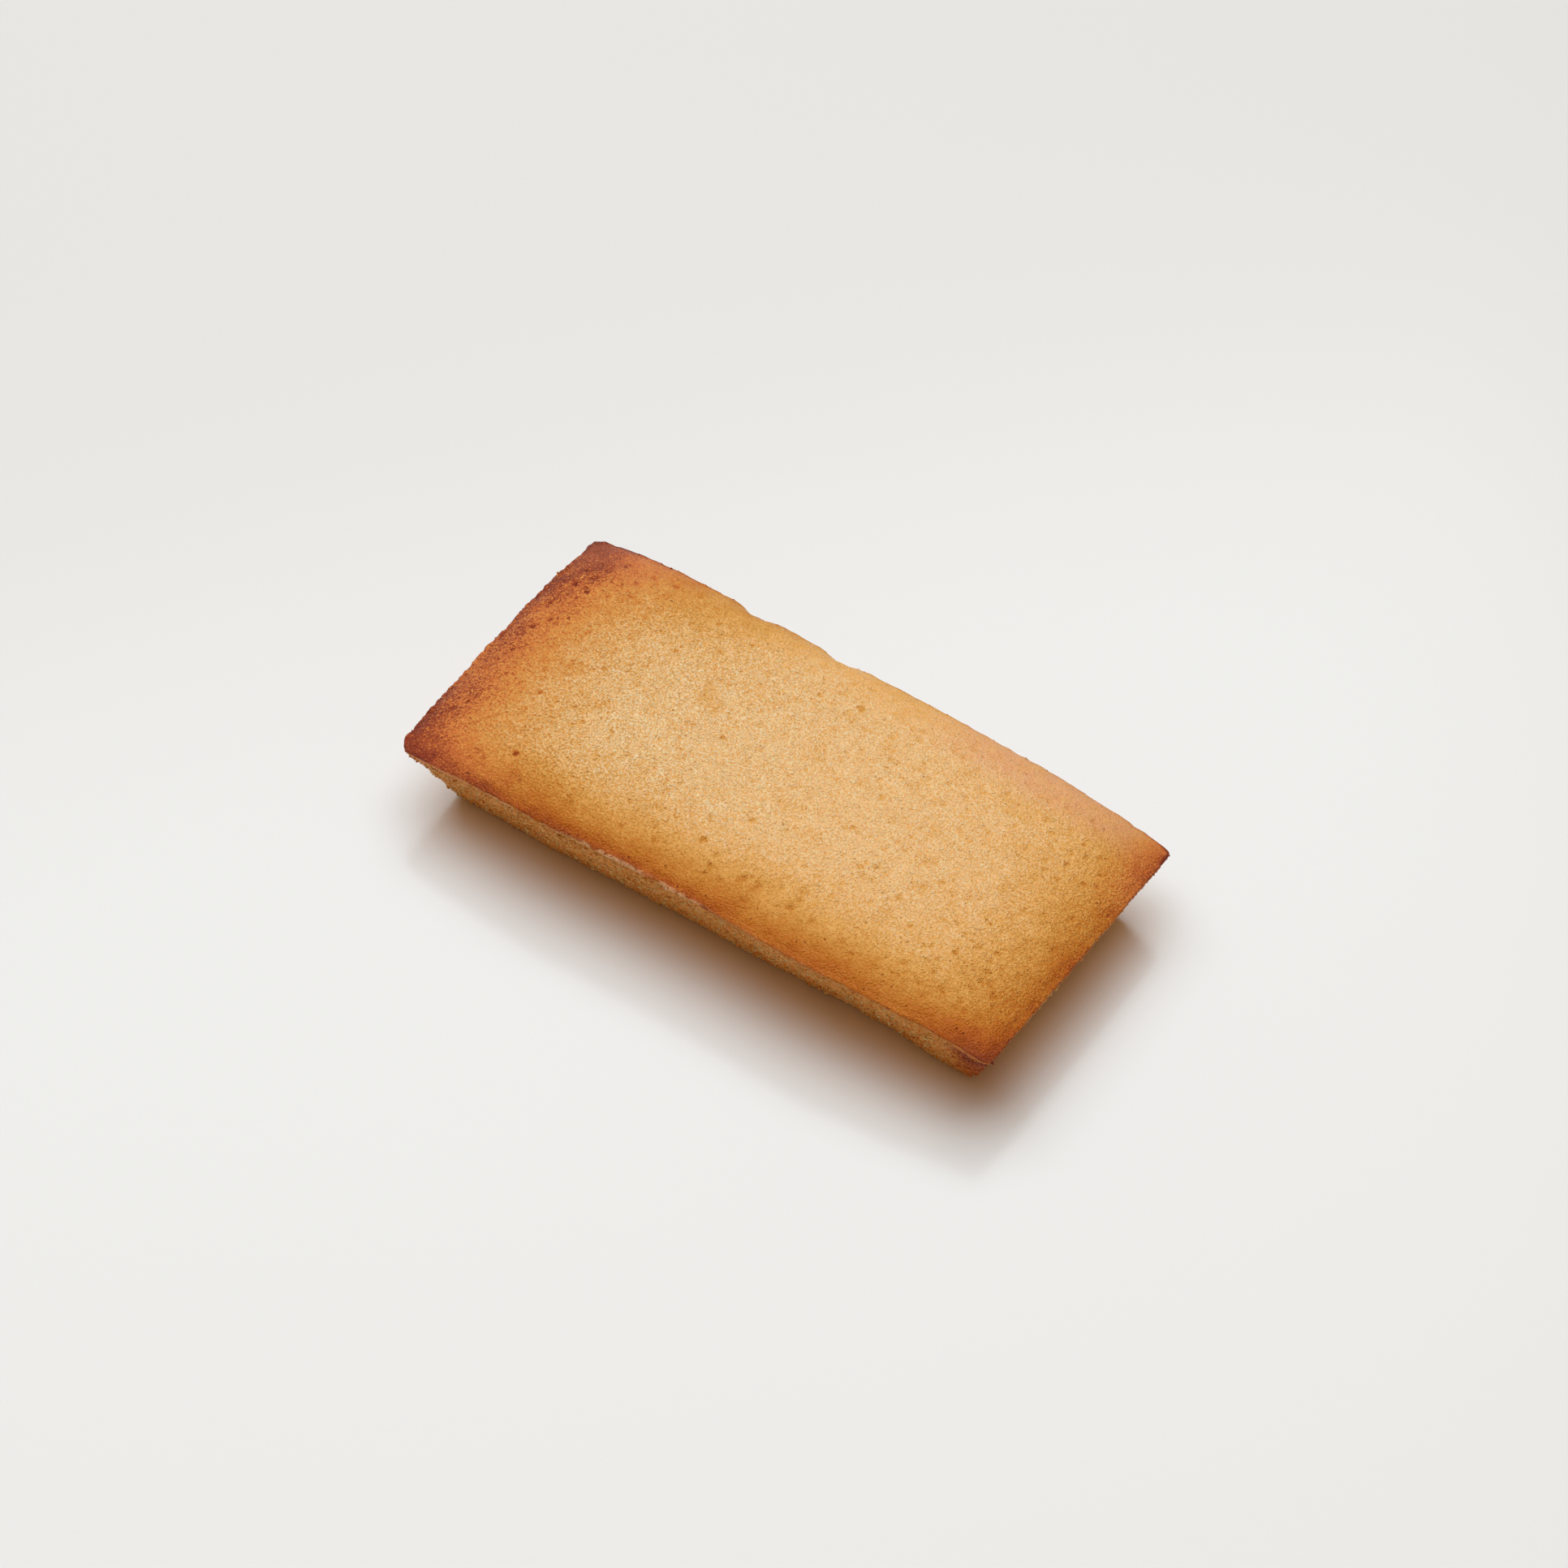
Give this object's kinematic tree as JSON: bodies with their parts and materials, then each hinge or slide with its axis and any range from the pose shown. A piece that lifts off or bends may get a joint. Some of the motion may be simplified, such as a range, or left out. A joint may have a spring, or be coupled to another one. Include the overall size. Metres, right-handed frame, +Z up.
{
  "type": "financier cake",
  "caption": "Small rectangular almond cake with leaning walls, an arched rim and a low golden crown, standing on its flat foot.",
  "frame": {"origin": "centre of the flat foot, where the cake rests", "axes": "+X along the length, away from the darker end; +Y across the width; +Z up"},
  "size_m": [0.0844, 0.0436, 0.0151],
  "materials": {
    "baked_crust": "matte baked crumb, golden on the crown and darker brown towards the rim"
  },
  "bodies": {
    "root": {"financier": "baked_crust"}
  },
  "joints": []
}
